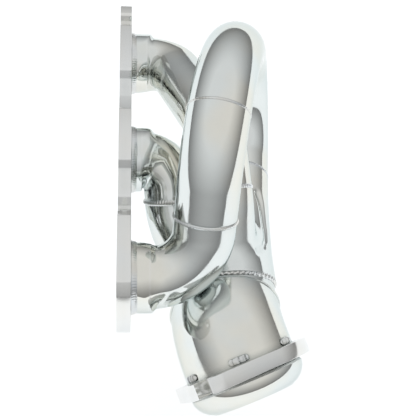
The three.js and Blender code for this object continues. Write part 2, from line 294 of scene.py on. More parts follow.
def round_profile(points, radii, seg=5):
    """Rounds the corners of a closed 2D outline; radii is one number or one per point."""
    pts = [np.array(p, float) for p in points]
    m = len(pts)
    if not hasattr(radii, "__len__"):
        radii = [radii] * m
    out = []
    for i in range(m):
        a, b, c = pts[i - 1], pts[i], pts[(i + 1) % m]
        d1, d2 = unit(b - a), unit(c - b)
        turn = math.acos(max(-1, min(1, float(d1 @ d2))))
        if turn < 1e-3 or radii[i] <= 0:
            out.append(b)
            continue
        t = min(radii[i] * math.tan(turn / 2), 0.48 * np.linalg.norm(b - a), 0.48 * np.linalg.norm(c - b))
        R = t / math.tan(turn / 2)
        s, e = b - d1 * t, b + d2 * t
        nrm = unit(d2 - d1 * (d1 @ d2))
        cen = s + nrm * R
        k = max(2, int(math.ceil(seg * turn / 1.5)) + 1)
        for q in np.linspace(0, turn, k):
            out.append(cen - nrm * R * math.cos(q) + d1 * R * math.sin(q))
    return np.array(out)


def bead(name, at, axis, r, body, replaced, mats, width=3.2, height=0.9, ripples=70, seed=1, n=None, sink=0.7, wander=0.25, side=0.0, rough=0.35, ref=None):
    """Weld bead round a tube: overlapping rounded ripples, slightly uneven in width and height.
    side has no effect: it is multiplied by zero."""
    g = np.random.default_rng(seed)
    n = n or ripples * 7
    d = unit(np.array(axis, float))
    u = ref if ref is not None else (A(0, 0, 1) if abs(d[2]) < 0.9 else A(1, 0, 0))
    u = unit(u - d * (u @ d))
    w = np.cross(d, u)
    th = np.linspace(0, 2 * np.pi, n, endpoint=False)
    drift = np.cumsum(g.normal(0, 1, 12))
    warp = sum(a * np.sin(k * th + f) for k, a, f in zip(range(1, 9), g.uniform(0.1, 0.5, 8) / np.arange(1, 9), g.uniform(0, 6.283, 8)))
    ph = ripples * th + warp * 2.2
    wv = 1 + 0.10 * sum(np.sin(k * th + f) / k for k, f in zip((3, 5, 9, 14), g.uniform(0, 6.283, 4)))
    hv = 1 + 0.14 * sum(np.sin(k * th + f) / k for k, f in zip((2, 6, 11, 17), g.uniform(0, 6.283, 4)))
    cv = wander * sum(np.sin(k * th + f) / k for k, f in zip((2, 4, 7), g.uniform(0, 6.283, 3)))
    top = np.linspace(-1, 1, 13)
    rows = []
    for t in top:
        crest = 0.5 + 0.5 * np.cos(ph - 1.6 * t * t)
        h = height * hv * (1 - abs(t) ** 2.4) * (1 - rough * crest ** 2)
        y = cv + width / 2 * wv * t * (1 + 0.06 * np.sin(ph))
        rr = r + h + side * (t + 1) * 0.0 - 0.05
        rows.append(np.array(at) + np.outer(rr * np.cos(th), u) + np.outer(rr * np.sin(th), w) + np.outer(y, d))
    for t in (0.85, -0.85):
        rr = np.full(n, r - sink)
        rows.append(np.array(at) + np.outer(rr * np.cos(th), u) + np.outer(rr * np.sin(th), w) + np.outer(cv + width / 2 * wv * t, d))
    return make_object(name, np.concatenate(rows), torus_faces(len(rows), n), body, replaced, mats, None, 60.0)


# ---------------------------------------------------------------- materials
def _mat(name):
    m = bpy.data.materials.new(name)
    m.use_nodes = True
    nt = m.node_tree
    nt.nodes.clear()
    out = nt.nodes.new("ShaderNodeOutputMaterial")
    bs = nt.nodes.new("ShaderNodeBsdfPrincipled")
    nt.links.new(bs.outputs[0], out.inputs[0])
    tc = nt.nodes.new("ShaderNodeTexCoord")
    return m, nt, bs, tc.outputs["Object"]


def _noise(nt, vec, scale, detail=3.0, rough=0.5, stretch=None, distort=0.0):
    if stretch is not None:
        mp = nt.nodes.new("ShaderNodeMapping")
        mp.inputs["Scale"].default_value = stretch
        nt.links.new(vec, mp.inputs["Vector"])
        vec = mp.outputs[0]
    n = nt.nodes.new("ShaderNodeTexNoise")
    n.inputs["Scale"].default_value = scale
    n.inputs["Detail"].default_value = detail
    n.inputs["Roughness"].default_value = rough
    n.inputs["Distortion"].default_value = distort
    nt.links.new(vec, n.inputs["Vector"])
    return n.outputs["Fac"]


def _range(nt, val, a, b, lo, hi):
    r = nt.nodes.new("ShaderNodeMapRange")
    r.inputs["From Min"].default_value = a
    r.inputs["From Max"].default_value = b
    r.inputs["To Min"].default_value = lo
    r.inputs["To Max"].default_value = hi
    nt.links.new(val, r.inputs["Value"])
    return r.outputs[0]


def _mix(nt, fac, a, b, mode="MIX"):
    m = nt.nodes.new("ShaderNodeMix")
    m.data_type = "RGBA"
    m.blend_type = mode
    for sock, val in ((m.inputs["Factor"], fac), (m.inputs[6], a), (m.inputs[7], b)):
        if hasattr(val, "links"):
            nt.links.new(val, sock)
        elif isinstance(val, (tuple, list)):
            sock.default_value = (*val, 1.0) if len(val) == 3 else val
        else:
            sock.default_value = val
    return m.outputs[2]


def _math(nt, op, a, b=None):
    m = nt.nodes.new("ShaderNodeMath")
    m.operation = op
    for k, v in enumerate((a, b)):
        if v is None:
            continue
        if hasattr(v, "links"):
            nt.links.new(v, m.inputs[k])
        else:
            m.inputs[k].default_value = v
    return m.outputs[0]


def _bump(nt, height, strength, distance, normal=None):
    b = nt.nodes.new("ShaderNodeBump")
    b.inputs["Strength"].default_value = strength
    b.inputs["Distance"].default_value = distance
    nt.links.new(height, b.inputs["Height"])
    if normal is not None:
        nt.links.new(normal, b.inputs["Normal"])
    return b.outputs[0]


def _edge(nt, lo=0.5, hi=0.56):
    g = nt.nodes.new("ShaderNodeNewGeometry")
    return _range(nt, g.outputs["Pointiness"], lo, hi, 0.0, 1.0)


# Mask for painted shade: 1 where ambient occlusion finds nearby surfaces (corners, hollows, where parts meet), 0 in
# the open.
def _crevice_shade_mask(nt, dist, inside=False):
    a = nt.nodes.new("ShaderNodeAmbientOcclusion")
    a.samples = 4
    a.inputs["Distance"].default_value = dist
    a.only_local = False
    return _range(nt, a.outputs["AO"], 0.35, 0.95, 1.0, 0.0)


def polished(name, base=(0.76, 0.80, 0.79), warm=(0.80, 0.79, 0.72), rough=(0.03, 0.11), wavy=0.08, scratch=0.04, crevice_shade=(0.14, 0.18, 0.18)):
    """Polished steel: faint buffing haze, warm patches, shallow waviness, hairline marks, dull at edges and in
    corners, with painted shade darkening the corners.
    """
    m, nt, bs, obj = _mat(name)
    big = _noise(nt, obj, 14.0, 3.0, 0.55)
    haze = _noise(nt, obj, 60.0, 4.0, 0.6)
    fine = _noise(nt, obj, 900.0, 3.0, 0.6)
    lines = _noise(nt, obj, 260.0, 4.0, 0.7, stretch=(1.0, 9.0, 1.0))
    tint = _range(nt, big, 0.44, 0.60, 0.0, 1.0)
    col = _mix(nt, tint, base, warm)
    col = _mix(nt, _range(nt, haze, 0.3, 0.75, 0.0, 0.22), col, (0.66, 0.68, 0.68))
    # painted shade: the colour is pulled towards a dark grey where ambient occlusion finds corners and joins between
    # parts
    ao_shade = _crevice_shade_mask(nt, 0.005)
    col = _mix(nt, _math(nt, "MULTIPLY", ao_shade, 0.6), col, crevice_shade)
    edge = _edge(nt)
    col = _mix(nt, _math(nt, "MULTIPLY", edge, 0.25), col, (0.9, 0.9, 0.9))
    nt.links.new(col, bs.inputs["Base Color"])
    bs.inputs["Metallic"].default_value = 1.0
    bs.inputs["Specular Tint"].default_value = (0.80, 0.84, 0.84, 1)
    r = _range(nt, haze, 0.35, 0.7, rough[0], rough[1])
    r = _math(nt, "ADD", r, _range(nt, lines, 0.55, 0.8, 0.0, 0.06))
    r = _math(nt, "ADD", r, _math(nt, "MULTIPLY", ao_shade, 0.18))
    r = _math(nt, "ADD", r, _math(nt, "MULTIPLY", edge, 0.08))
    nt.links.new(r, bs.inputs["Roughness"])
    b1 = _bump(nt, _noise(nt, obj, 34.0, 2.0, 0.45), wavy, 0.0016)
    b2 = _bump(nt, lines, scratch, 0.00012, b1)
    b3 = _bump(nt, fine, scratch * 0.8, 0.00005, b2)
    nt.links.new(b3, bs.inputs["Normal"])
    return m


def plate_metal(name, grain=(1.0, 22.0, 1.0), base=(0.76, 0.785, 0.78), rough=(0.07, 0.18)):
    """Cut steel plate, buffed: fine straight grain across the cut edge, soft wear on the corners, painted shade where
    other parts meet it.
    """
    m, nt, bs, obj = _mat(name)
    big = _noise(nt, obj, 22.0, 2.0, 0.5)
    haze = _noise(nt, obj, 120.0, 4.0, 0.6)
    grain_n = _noise(nt, obj, 420.0, 5.0, 0.65, stretch=grain)
    pits = _noise(nt, obj, 1500.0, 2.0, 0.5)
    col = _mix(nt, _range(nt, big, 0.4, 0.68, 0.0, 1.0), base, (0.78, 0.78, 0.74))
    col = _mix(nt, _range(nt, grain_n, 0.35, 0.75, 0.0, 0.2), col, (0.62, 0.62, 0.63))
    # painted shade: the plate's colour darkens towards near black where ambient occlusion finds corners and the parts
    # welded to it
    ao_shade = _crevice_shade_mask(nt, 0.005)
    col = _mix(nt, _math(nt, "MULTIPLY", ao_shade, 0.6), col, (0.14, 0.16, 0.16))
    edge = _edge(nt)
    col = _mix(nt, _math(nt, "MULTIPLY", edge, 0.5), col, (0.92, 0.92, 0.92))
    nt.links.new(col, bs.inputs["Base Color"])
    bs.inputs["Metallic"].default_value = 1.0
    r = _range(nt, haze, 0.3, 0.7, rough[0], rough[1])
    r = _math(nt, "ADD", r, _range(nt, grain_n, 0.5, 0.8, 0.0, 0.07))
    r = _math(nt, "ADD", r, _math(nt, "MULTIPLY", ao_shade, 0.2))
    nt.links.new(r, bs.inputs["Roughness"])
    b1 = _bump(nt, grain_n, 0.10, 0.00012)
    b2 = _bump(nt, pits, 0.05, 0.00008, b1)
    nt.links.new(b2, bs.inputs["Normal"])
    return m


def weld_metal(name, base=(0.76, 0.78, 0.77)):
    """Weld bead, brushed over: uneven sheen, straw and blue heat tint low in the ripples, painted shade darkening the
    hollows between its ripples and its foot.
    """
    m, nt, bs, obj = _mat(name)
    n1 = _noise(nt, obj, 90.0, 4.0, 0.6)
    n2 = _noise(nt, obj, 700.0, 4.0, 0.6)
    tint = _noise(nt, obj, 45.0, 2.0, 0.5)
    ramp = nt.nodes.new("ShaderNodeValToRGB")
    ramp.color_ramp.elements[0].position = 0.30
    ramp.color_ramp.elements[0].color = (0.66, 0.70, 0.73, 1)
    ramp.color_ramp.elements[1].position = 0.72
    ramp.color_ramp.elements[1].color = (0.78, 0.76, 0.69, 1)
    mid = ramp.color_ramp.elements.new(0.5)
    mid.color = (*base, 1)
    nt.links.new(tint, ramp.inputs[0])
    col = _mix(nt, _range(nt, n1, 0.35, 0.7, 0.0, 0.35), ramp.outputs[0], (0.5, 0.5, 0.5))
    # painted shade: near-black colour mixed in where ambient occlusion finds the hollows of the ripples and the joint
    # with the tube
    ao_shade = _crevice_shade_mask(nt, 0.0012)
    col = _mix(nt, _math(nt, "MULTIPLY", ao_shade, 0.75), col, (0.10, 0.11, 0.11))
    nt.links.new(col, bs.inputs["Base Color"])
    bs.inputs["Metallic"].default_value = 1.0
    r = _range(nt, n1, 0.3, 0.75, 0.09, 0.22)
    r = _math(nt, "ADD", r, _math(nt, "MULTIPLY", ao_shade, 0.25))
    nt.links.new(r, bs.inputs["Roughness"])
    nt.links.new(_bump(nt, n2, 0.25, 0.0002), bs.inputs["Normal"])
    return m


def bore_metal(name):
    """Inside of the tubes: unpolished drawn steel, darker, with faint streaks along the bore."""
    m, nt, bs, obj = _mat(name)
    n1 = _noise(nt, obj, 55.0, 4.0, 0.6)
    n2 = _noise(nt, obj, 300.0, 4.0, 0.6, stretch=(1.0, 1.0, 6.0))
    col = _mix(nt, _range(nt, n1, 0.3, 0.7, 0.0, 1.0), (0.30, 0.30, 0.31), (0.42, 0.40, 0.37))
    col = _mix(nt, _range(nt, n2, 0.5, 0.75, 0.0, 0.4), col, (0.20, 0.19, 0.18))
    nt.links.new(col, bs.inputs["Base Color"])
    bs.inputs["Metallic"].default_value = 0.9
    nt.links.new(_range(nt, n2, 0.3, 0.7, 0.34, 0.55), bs.inputs["Roughness"])
    nt.links.new(_bump(nt, n2, 0.2, 0.0002), bs.inputs["Normal"])
    return m


TUBE_MAT = polished("polished_tube")
FORM_MAT = polished("polished_formed", wavy=0.16, rough=(0.05, 0.17))
BALL_MAT = polished("polished_ball", wavy=0.04, rough=(0.03, 0.09))
PLATE_MAT = plate_metal("cut_plate")
RING_MAT = plate_metal("cut_ring", grain=(9.0, 4.0, 4.0))
WELD_MAT = weld_metal("weld_bead")
BORE_MAT = bore_metal("tube_bore")

ROOT, LOOSE = "header", "loose_flange"


# ---------------------------------------------------------------- plates with holes
def plate(name, outline, holes, thick, place, body, replaced, mats, chamfer=0.45):
    """Flat plate: outline and holes are closed 2D loops; the edges are rounded over. place(x, z, t) -> point."""
    prof = [(0.0, chamfer), (chamfer * 0.29, chamfer * 0.29), (chamfer, 0.0), (thick * 0.5, 0.0), (thick - chamfer, 0.0), (thick - chamfer * 0.29, chamfer * 0.29), (thick, chamfer)]
    bm = bmesh.new()
    caps = {0: [], len(prof) - 1: []}
    for k, loop in enumerate([outline] + list(holes)):
        loop = np.array(loop, float)
        area = 0.5 * np.sum(loop[:, 0] * np.roll(loop[:, 1], -1) - np.roll(loop[:, 0], -1) * loop[:, 1])
        if area < 0:
            loop = loop[::-1]
        t = np.roll(loop, -1, 0) - np.roll(loop, 1, 0)
        t = t / (np.linalg.norm(t, axis=1)[:, None] + 1e-12)
        inward = np.stack([-t[:, 1], t[:, 0]], 1) * (1 if k == 0 else -1)
        rows = []
        for y, inset in prof:
            q = loop + inward * inset
            rows.append([bm.verts.new(Vector(place(x, z, y)) * MM) for x, z in q])
        m = len(loop)
        for r0, r1 in zip(rows, rows[1:]):
            for i in range(m):
                bm.faces.new((r0[i], r0[(i + 1) % m], r1[(i + 1) % m], r1[i]))
        for e in caps:
            r = rows[e]
            caps[e] += [bm.edges.get((r[i], r[(i + 1) % m])) for i in range(m)]
    for e in caps:
        bmesh.ops.triangle_fill(bm, use_beauty=True, use_dissolve=False, edges=caps[e])
    bmesh.ops.recalc_face_normals(bm, faces=bm.faces)
    me = bpy.data.meshes.new(name)
    bm.to_mesh(me)
    bm.free()
    if volume(me) < 0:
        me.flip_normals()
    for mt in mats:
        me.materials.append(mt)
    me.shade_smooth()
    me.set_sharp_from_angle(angle=math.radians(24))
    flat = unit(A(*place(0, 0, 1)) - A(*place(0, 0, 0)))
    for f in me.polygons:
        if abs(A(*f.normal) @ flat) > 0.999:
            f.use_smooth = False
    o = bpy.data.objects.new(name, me)
    bpy.context.scene.collection.objects.link(o)
    finish_piece(o, body, replaced)
    return o


def circle(cx, cz, r, n=64):
    a = np.linspace(0, 2 * np.pi, n, endpoint=False)
    return np.stack([cx + r * np.cos(a), cz + r * np.sin(a)], 1)


# head flange: scalloped between the ports, with lobes for the bolts
TOP = [(-178, -8), (-176, 4), (-166, 16), (-149, 30), (-138, 37.5), (-126.6, 38.8), (-123.3, 32.4), (-116.5, 32.6), (-111, 41), (-58.2, 41.5), (-54.2, 34.8),
       (-49, 31), (-40, 30), (-24, 31.5), (-17, 41), (20, 41.5), (31.5, 38.7), (35.5, 32), (50, 28.5), (57, 28.5), (62.8, 20.5), (68.5, 24),
       (69.5, 29), (76, 31), (82, 41), (126, 41.5), (135, 40), (142, 32), (147, 22), (150, 8)]
BOTTOM = [(149.5, -2), (143, -16), (134, -30), (122, -39), (92, -41), (80, -37), (66, -30), (44, -30.6), (32, -38), (20, -41), (-20, -41.5), (-32, -38),
          (-44, -30.6), (-66, -30), (-80, -37), (-92, -41), (-124, -41.5), (-144, -36), (-162, -27), (-173, -18)]
outline = round_profile(TOP + BOTTOM, 3.0, seg=5)
BOLTS = [(-158, -6), (-53, 16), (-54, -16), (54, 12), (54, -16), (130.5, 29.5)]
plate(
    "head_flange_plate", outline, [circle(x, 0, PORT_HOLE_R, 96) for x in PORT_X] + [circle(x, z, 5.2, 40) for x, z in BOLTS], HEAD_T,
    lambda x, z, t: (x, t, z), ROOT, ["head_flange"], [PLATE_MAT],
)

# ---------------------------------------------------------------- swaged ends in the ports, and their welds
for i, px in enumerate(PORT_X):
    a, b = STUB_STEP[i], STUB_END[i]

    def skew(th, R, Y, i=i):
        # the step is short on the outer side of the bend and drawn out to nothing on the faces beside it
        way = SWAGE[i][0]
        extra = swage(i, Y - HEAD_T, np.sin(th) * way[0] + np.cos(th) * way[2])
        return R + (Y > HEAD_T) * (TUBE_R + extra - STUB_R), Y
    ys = np.linspace(HEAD_T, b, 16)
    out_side = [(STUB_R - 0.5, STUB_START), (STUB_R - 0.15, STUB_START + 0.15), (STUB_R, STUB_START + 0.5)] + [(STUB_R, y) for y in ys]
    prof = out_side + [(STUB_R - WALL, y) for y in ys[::-1]] + [(STUB_R - WALL, STUB_START + 0.3), (STUB_R - WALL + 0.3, STUB_START)]
    # finer steps along the straight collar keep the sheen even
    lathe(f"port_stub_{i + 1}_swage", prof, (px, 0, 0), (0, 1, 0), ROOT, [f"port_stub_{i + 1}"], [TUBE_MAT, BORE_MAT], n=128, shape=skew, inner_from=len(out_side))
    # fillet weld between plate and swage
    g = np.random.default_rng(20 + i)
    n = 90 * 7
    th = np.linspace(0, 2 * np.pi, n, endpoint=False)
    warp = sum(np.sin(k * th + f) / k for k, f in zip(range(1, 8), g.uniform(0, 6.283, 7)))
    ph = 84 * th + 1.8 * warp
    leg = 1 + 0.12 * sum(np.sin(k * th + f) / k for k, f in zip((2, 5, 9, 13), g.uniform(0, 6.283, 4)))
    rows = []
    for t in np.linspace(0, 1, 11):
        crest = 0.5 + 0.5 * np.cos(ph - 1.5 * (2 * t - 1) ** 2)
        bulge = 0.55 * math.sin(math.pi * t) * (1 - 0.35 * crest ** 2)
        rr = STUB_R + 0.02 + (1.2 * leg) * (1 - t) ** 1.25 + bulge * 0.45
        yy = HEAD_T + 0.02 + (4.2 * leg) * t ** 1.15 + bulge * 0.45
        rows.append(A(px, 0, 0) + np.outer(rr * np.cos(th), A(0, 0, 1)) + np.outer(rr * np.sin(th), A(1, 0, 0)) + np.outer(yy * np.ones(n), A(0, 1, 0)))
    rr = np.full(n, STUB_R - 0.5)
    for yy in (HEAD_T + 4.0, HEAD_T - 0.4):
        rows.append(A(px, 0, 0) + np.outer(rr * np.cos(th), A(0, 0, 1)) + np.outer(rr * np.sin(th), A(1, 0, 0)) + np.outer(yy * np.ones(n), A(0, 1, 0)))
    make_object(f"port_weld_{i + 1}_bead", np.concatenate(rows), torus_faces(len(rows), n), ROOT, [f"port_weld_{i + 1}"], [WELD_MAT], None, 60.0)

# ---------------------------------------------------------------- primary tubes
p1 = Path([A(PORT_X[0], STUB_END[0] + 0.02, 0), A(PORT_X[0], 42.7, 0), FEED_CORNER, INLET[0]], [26.4, 44.6])
p2 = Path([A(PORT_X[1], STUB_END[1] + 0.02, 0), MID_CORNER, INLET[1]], [24.1])
p3 = Path([A(PORT_X[2], STUB_END[2] + 0.02, 0), A(PORT_X[2], 58.2, 0), A(54.7, 63.7, 77.0), A(-26.9, 79.5, 111.1), RETURN_CORNER, INLET[2]],
          [37, 80, 78.5, 51.4])
tm = [TUBE_MAT, BORE_MAT]
tube("tube_1_drawn", p1, 0, p1.total, TUBE_R, ROOT, ["tube_1_bend"], tm, seed=11, flush=True, step=0)
tube("tube_2_drawn", p2, 0, p2.total, TUBE_R, ROOT, ["tube_2_bend"], tm, seed=12, flush=True, step=1)
tube("tube_3_lower_drawn", p3, 0, W_LOW, TUBE_R, ROOT, ["tube_3_lower_bend"], tm, seed=13, flush=True, step=2)
tube("tube_3_riser_drawn", p3, W_LOW, W_HIGH, TUBE_R, ROOT, ["tube_3_riser"], tm, seed=14)
tube("tube_3_return_drawn", p3, W_HIGH, p3.total, TUBE_R, ROOT, ["tube_3_return_bend"], tm, seed=15)
for nm, s, seed, h, w in (("tube_3_weld_lower", W_LOW, 31, 1.15, 2.7), ("tube_3_weld_upper", W_HIGH, 32, 0.4, 1.9)):
    p, d = p3.at(s)
    bead(nm + "_bead", p, d, TUBE_R, ROOT, [nm], [WELD_MAT], width=w, height=h, ripples=64, seed=seed, wander=0.18, rough=0.16)


# ---------------------------------------------------------------- merge collector, blended from its three lobes
def hermite(p0, d0, p1_, d1, n):
    t = np.linspace(0, 1, n)[:, None]
    L = np.linalg.norm(p1_ - p0)
    return p0 * (2 * t ** 3 - 3 * t ** 2 + 1) + d0 * L * (t ** 3 - 2 * t ** 2 + t) + p1_ * (-2 * t ** 3 + 3 * t ** 2) + d1 * L * (t ** 3 - t ** 2)


BODY_START = sum(p + d * 21 for p, d in zip(INLET, INLET_DIR)) / 3
BODY_DIR = unit(sum(INLET_DIR))
AXIS_LEN = float(np.linalg.norm(MERGE_END - BODY_START))


def lobe_line(i):
    off = INLET[i] + INLET_DIR[i] * 21 - BODY_START
    off = off - MERGE_DIR * (off @ MERGE_DIR)
    end = MERGE_END + unit(off) * 13.5
    pts = hermite(INLET[i], INLET_DIR[i], end, MERGE_DIR, 40)
    pre = INLET[i] - INLET_DIR[i] * np.linspace(9, 1.5, 5)[:, None]
    post = end + MERGE_DIR * np.linspace(1.5, 9, 5)[:, None]
    pts = np.concatenate([pre, pts, post])
    t = np.concatenate([np.zeros(5), np.linspace(0, 1, 40), np.ones(5)])
    return pts, TUBE_R + 4.6 * t ** 1.6


LOBES = [lobe_line(i) for i in range(3)]
_body = np.concatenate([hermite(BODY_START, BODY_DIR, MERGE_END, MERGE_DIR, 40), MERGE_END + MERGE_DIR * np.linspace(1.5, 10, 6)[:, None]])
_bt = np.concatenate([np.linspace(0, 1, 40), np.ones(6)])
_br = 12.0 + (NECK_R - 12.0) * (_bt * (2 - _bt)) ** 0.9
BODY = (_body, _br)


def capsule_chain(X, pts, rad):
    """Distance to a chain of tapered capsules (flat chain ends trimmed later)."""
    best = np.full(len(X), 1e9)
    for a, b, ra, rb in zip(pts, pts[1:], rad, rad[1:]):
        ab = b - a
        t = np.clip(((X - a) @ ab) / (ab @ ab), 0, 1)
        dd = np.linalg.norm(X - a - t[:, None] * ab, axis=1) - (ra + (rb - ra) * t)
        best = np.minimum(best, dd)
    return best


def smin(a, b, k):
    h = np.clip(0.5 + 0.5 * (b - a) / k, 0, 1)
    return b + (a - b) * h - k * h * (1 - h)


_st = np.linspace(0, 1, 60)[:, None]
SIDE = ((INLET[2] + INLET_DIR[2] * 2) * (1 - _st) + MERGE_END * _st, 19.4 + 24.2 * _st[:, 0] - 3.0 * _st[:, 0] ** 2)
VALLEY = np.array([(19.3, 110.5, -16.5), (26.4, 112.6, -19.0), (35.2, 113.6, -20.4), (44.3, 114.0, -21.3), (52.9, 114.8, -22.8),
                   (60.6, 114.4, -22.5), (69.4, 111.6, -19.0), (76.5, 105.4, -12.4)])


def merge_sdf(X):
    t = np.clip(((X - BODY_START) @ BODY_DIR) / AXIS_LEN, -0.4, 1.0)
    k = 2.2 + 9.0 * np.clip(t + 0.1, 0, 1) ** 1.2
    d = [capsule_chain(X, p[::1], r[::1]) for p, r in LOBES]
    body = capsule_chain(X, *BODY)
    out = smin(smin(d[0], d[1], k), d[2], k)
    out = smin(smin(out, body, k), capsule_chain(X, *SIDE), 5.0)
    q = capsule_chain(X, VALLEY, np.zeros(len(VALLEY)))
    return out + 3.2 * np.exp(-(q / 2.2) ** 2)


def surface_nets(f, lo, hi, h):
    """Quad mesh of the zero level of f on a regular grid."""
    lo, hi = np.array(lo, float), np.array(hi, float)
    n = np.ceil((hi - lo) / h).astype(int) + 1
    ax = [lo[k] + h * np.arange(n[k]) for k in range(3)]
    G = np.stack(np.meshgrid(*ax, indexing="ij"), -1).reshape(-1, 3)
    F = np.concatenate([f(c) for c in np.array_split(G, max(1, len(G) // 200000))]).reshape(n)
    ins = F < 0
    c = n - 1
    s = np.zeros(c, int)
    for a in (0, 1):
        for b in (0, 1):
            for e in (0, 1):
                s += ins[a:a + c[0], b:b + c[1], e:e + c[2]]
    act = (s > 0) & (s < 8)
    ids = np.full(c, -1)
    ids[act] = np.arange(act.sum())
    cell = np.argwhere(act)
    pos = np.zeros((len(cell), 3))
    cnt = np.zeros(len(cell))
    corners = [(a, b, e) for a in (0, 1) for b in (0, 1) for e in (0, 1)]
    for p in corners:
        for q in corners:
            if sum(abs(x - y) for x, y in zip(p, q)) != 1 or p > q:
                continue
            fa = F[cell[:, 0] + p[0], cell[:, 1] + p[1], cell[:, 2] + p[2]]
            fb = F[cell[:, 0] + q[0], cell[:, 1] + q[1], cell[:, 2] + q[2]]
            cross = (fa < 0) != (fb < 0)
            t = np.where(cross, fa / np.where(fa == fb, 1, fa - fb), 0)
            pt = np.array(p)[None] + t[:, None] * (np.array(q) - np.array(p))[None]
            pos[cross] += pt[cross]
            cnt[cross] += 1
    verts = lo + h * (cell + pos / cnt[:, None])
    faces = []
    for k in range(3):
        o1, o2 = [(1, 2), (2, 0), (0, 1)][k]
        sl = [slice(1, -1)] * 3
        sl[k] = slice(0, -1)
        a = F[tuple(sl)]
        sl2 = list(sl)
        sl2[k] = slice(1, None)
        b = F[tuple(sl2)]
        hit = np.argwhere((a < 0) != (b < 0))
        sign = (a < 0)[tuple(hit.T)]
        hit = hit + np.array([0 if q == k else 1 for q in range(3)])
        e1, e2 = np.zeros(3, int), np.zeros(3, int)
        e1[o1], e2[o2] = 1, 1
        quad = np.stack([ids[tuple((hit - x).T)] for x in (e1 * 0, e1, e1 + e2, e2)], 1)
        quad[~sign] = quad[~sign][:, ::-1]
        faces.append(quad)
    return verts, np.concatenate(faces)


def build_merge():
    allp = np.concatenate([p for p, _ in LOBES] + [BODY[0]])
    lo, hi = allp.min(0) - 30, allp.max(0) + 30
    far = MERGE_END + MERGE_DIR * 9
    lo = np.minimum(lo, far - 44)
    hi = np.maximum(hi, far + 44)
    step = 1.5
    V, F = surface_nets(merge_sdf, lo, hi, step)
    for _ in range(4):
        d = merge_sdf(V)
        e = 0.05
        G = np.stack([merge_sdf(V + A(*(e * np.eye(3)[k]))) - merge_sdf(V - A(*(e * np.eye(3)[k]))) for k in range(3)], 1) / (2 * e)
        V = V - G * (d / np.maximum(0.4, (G * G).sum(1)))[:, None] * 0.9
    bm = bmesh.new()
    vs = [bm.verts.new(v) for v in V]
    for f in F:
        if (f >= 0).all():
            bm.faces.new([vs[i] for i in f])
    bm.faces.ensure_lookup_table()
    # trim each lobe square at its inlet, and the body at its round end
    for p, d, rad in [(INLET[i], -INLET_DIR[i], 28.0) for i in range(3)] + [(MERGE_END, MERGE_DIR, 60.0)]:
        near = []
        for f in bm.faces:
            c = np.array(f.calc_center_median())
            if np.linalg.norm(c - p) < rad and (c - p) @ d > -4:
                near.append(f)
        geom = set(near)
        for f in near:
            geom.update(f.edges)
            geom.update(f.verts)
        bmesh.ops.bisect_plane(bm, geom=list(geom), dist=1e-4, plane_co=Vector(p), plane_no=Vector(d), clear_outer=True, clear_inner=False)
        rest = [f for f in bm.faces if np.linalg.norm(np.array(f.calc_center_median()) - p) < rad + 6 and (np.array(f.calc_center_median()) - p) @ d > 0.02]
        if rad < 30 or rest:
            bmesh.ops.delete(bm, geom=rest, context="FACES")
    bmesh.ops.remove_doubles(bm, verts=bm.verts, dist=0.05)
    loose = [v for v in bm.verts if not v.link_faces]
    bmesh.ops.delete(bm, geom=loose, context="VERTS")
    bmesh.ops.recalc_face_normals(bm, faces=bm.faces)
    # shell inwards to the wall thickness
    bm.verts.ensure_lookup_table()
    bm.normal_update()
    me = bpy.data.meshes.new("merge_collector_formed")
    bm.to_mesh(me)
    bm.free()
    co = np.zeros(len(me.vertices) * 3)
    me.vertices.foreach_get("co", co)
    me.vertices.foreach_set("co", co * MM)
    o = bpy.data.objects.new("merge_collector_formed", me)
    bpy.context.scene.collection.objects.link(o)
    sol = o.modifiers.new("shell", "SOLIDIFY")
    sol.thickness = WALL * MM
    sol.offset = -1
    sol.use_even_offset = True
    sol.use_quality_normals = True
    sol.material_offset = 1
    me.materials.append(FORM_MAT)
    me.materials.append(BORE_MAT)
    bpy.context.view_layer.objects.active = o
    bpy.context.view_layer.update()
    dg = bpy.context.evaluated_depsgraph_get()
    solid = bpy.data.meshes.new_from_object(o.evaluated_get(dg), depsgraph=dg)
    o.modifiers.clear()
    o.data = solid
    if volume(solid) < 0:
        solid.flip_normals()
    solid.shade_smooth()
    solid.set_sharp_from_angle(angle=math.radians(50))
    finish_piece(o, ROOT, ["merge_collector"])
    return o


build_merge()
for i in range(3):
    bead(f"merge_weld_{i + 1}_bead", INLET[i], INLET_DIR[i], TUBE_R + 0.1, ROOT, [f"merge_weld_{i + 1}"], [WELD_MAT], width=(3.2, 4.4, 3.2)[i], height=(0.7, 1.3, 0.6)[i], ripples=62, seed=41 + i, wander=0.35)
bead("collector_weld_bead", MERGE_END, MERGE_DIR, NECK_R + 0.15, ROOT, ["collector_weld"], [WELD_MAT], width=5.4, height=1.7, ripples=58, seed=51, wander=0.9, rough=0.5)

# ---------------------------------------------------------------- neck, outlet elbow and ball end
out_path = Path([MERGE_END, NECK_CORNER, OUT_CORNER, FLANGE_TOP + OUT_DIR * 40], [50, 52])
OUT_END = out_path.total - 40 + FLANGE_T + 0.2
fm = [FORM_MAT, BORE_MAT]
tube("collector_neck_ring", out_path, 0.1, NECK_LEN, NECK_R, ROOT, ["collector_neck"], fm, n=160, ds=1.2, seed=61, amp=0.05, oval=0.0, ch1=0.9)
tube("collector_outlet_elbow", out_path, NECK_LEN + 0.15, OUT_END, OUT_R, ROOT, ["collector_outlet"], fm, n=160, ds=1.2, seed=62, amp=0.05, oval=0.0, ch0=0.4, lip=0.95)
ball_p, ball_d = out_path.at(OUT_END + 0.1)
ball_prof = [(39.6, 0), (41.65, 0)]
for q in np.linspace(0.0, 1.0, 26):
    # rolled form: swells just past the pipe, then closes in an even curve to the mouth
    a = q * 1.36
    ball_prof.append((30.6 + 12.5 * math.cos(a) ** 1.2, 2.4 + 12.6 * math.sin(a) ** 1.12 + 1.2 * q))
